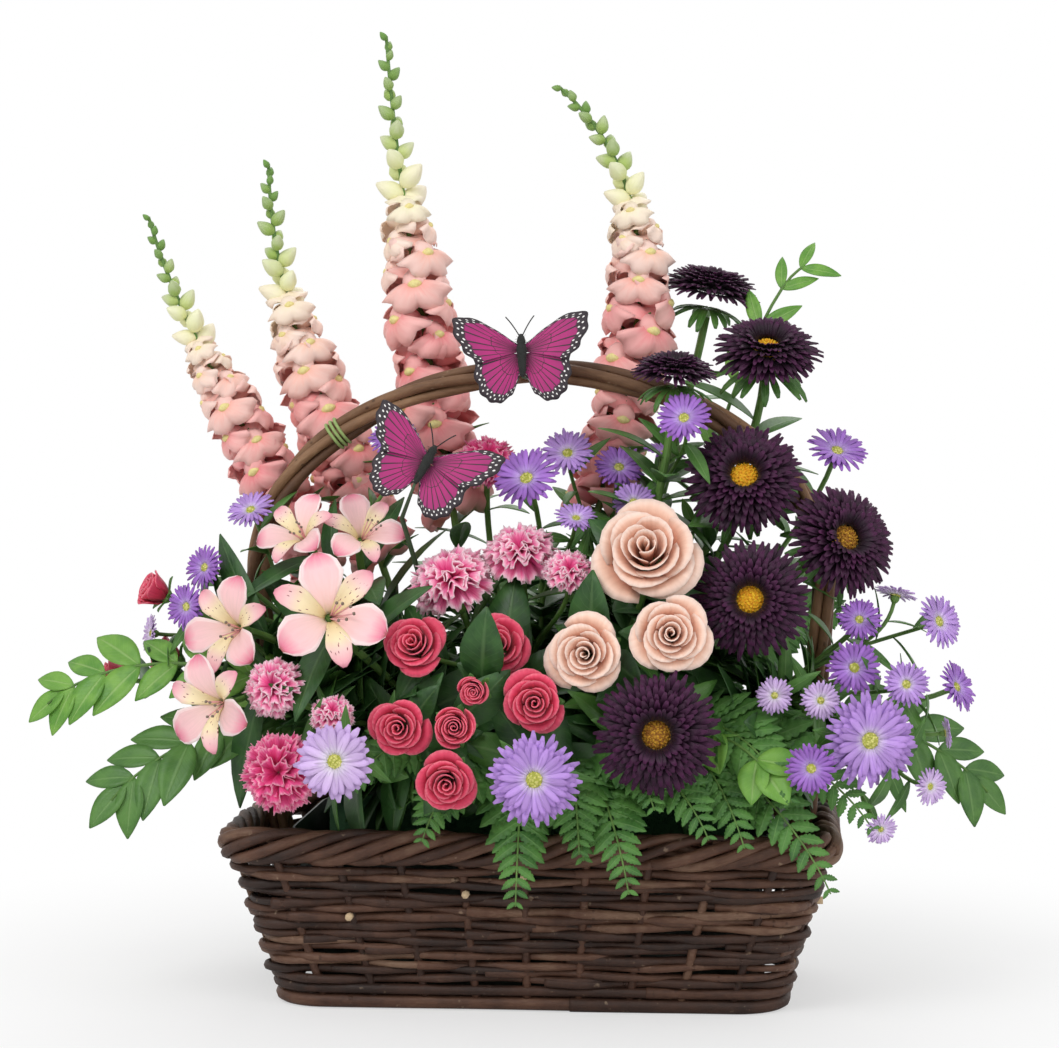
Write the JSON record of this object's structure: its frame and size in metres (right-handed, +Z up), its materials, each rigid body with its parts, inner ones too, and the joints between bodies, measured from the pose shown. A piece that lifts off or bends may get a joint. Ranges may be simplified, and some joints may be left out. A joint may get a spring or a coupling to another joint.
{
  "type": "flower basket arrangement",
  "caption": "Rectangular willow basket with a twisted arch handle, filled with cut flowers and foliage that stand in a lined block of floral foam.",
  "frame": {"origin": "middle of the basket's underside, on the surface that it stands on", "axes": "+Z up; the arrangement's front faces -Y; +X is the viewer's right, along the basket's long side and the handle's arch"},
  "size_m": [0.5144, 0.2907, 0.5342],
  "materials": {
    "willow_weave": "woven unpeeled willow rods, brown to grey-brown with a dull sheen",
    "willow_handle": "twisted willow rods, lighter brown, slightly polished by handling",
    "liner_plastic": "thin moulded dark green plastic",
    "floral_foam": "fine open foam, dark green and wet",
    "aster_dark": "velvety near-black purple petals round a yellow centre",
    "aster_lavender": "thin lavender petals round a yellow-green centre",
    "rose_coral": "satin coral-red petals",
    "rose_peach": "satin pale peach petals, deeper at the heart",
    "carnation_pink": "ruffled pink petals with pale edges",
    "alstroemeria_pink": "pale pink petals with dark flecks",
    "snapdragon_pink": "salmon-pink florets paling to green buds at the tip",
    "foliage_green": "waxy green leaves with pale veins",
    "butterfly_wing": "painted feather wings, magenta with dark edges and white dots",
    "butterfly_body": "dark fuzzy body on a wire or pick"
  },
  "bodies": {
    "root": {"alstroemeria_1": "alstroemeria_pink", "alstroemeria_2": "alstroemeria_pink", "alstroemeria_3": "alstroemeria_pink", "aster_spray_back": "aster_lavender", "aster_spray_centre": "aster_lavender", "aster_spray_left": "aster_lavender", "aster_spray_right_middle": "aster_lavender", "aster_spray_right_outer": "aster_lavender", "aster_spray_right_upper": "aster_lavender", "aster_stem_right_high": "aster_lavender", "basket_base": "willow_weave", "basket_foot_band": "willow_weave", "basket_rim": "willow_weave", "basket_wall": "willow_weave", "butterfly_lower_body": "butterfly_body", "butterfly_lower_wings": "butterfly_wing", "butterfly_upper_body": "butterfly_body", "butterfly_upper_wings": "butterfly_wing", "carnation_1": "carnation_pink", "carnation_2": "carnation_pink", "carnation_3": "carnation_pink", "carnation_4": "carnation_pink", "carnation_5": "carnation_pink", "china_aster_1": "aster_dark", "china_aster_2": "aster_dark", "china_aster_3": "aster_dark", "china_aster_4": "aster_dark", "china_aster_5": "aster_dark", "china_aster_6": "aster_dark", "china_aster_7": "aster_dark", "fern_back_left": "foliage_green", "fern_back_middle": "foliage_green", "fern_back_right": "foliage_green", "fern_front_centre": "foliage_green", "fern_front_left": "foliage_green", "fern_front_right": "foliage_green", "floral_foam": "floral_foam", "handle_rod_1": "willow_handle", "handle_rod_2": "willow_handle", "handle_rod_3": "willow_handle", "handle_rod_4": "willow_handle", "large_daisy_1": "aster_lavender", "large_daisy_2": "aster_lavender", "large_daisy_3": "aster_lavender", "leaf_sprig_right": "foliage_green", "liner_tray": "liner_plastic", "rose_coral_1": "rose_coral", "rose_coral_2": "rose_coral", "rose_coral_3": "rose_coral", "rose_peach_1": "rose_peach", "rose_peach_2": "rose_peach", "ruscus_left": "foliage_green", "ruscus_left_low": "foliage_green", "ruscus_right": "foliage_green", "ruscus_top": "foliage_green", "snapdragon_1": "snapdragon_pink", "snapdragon_2": "snapdragon_pink", "snapdragon_3": "snapdragon_pink", "snapdragon_4": "snapdragon_pink"}
  },
  "joints": []
}
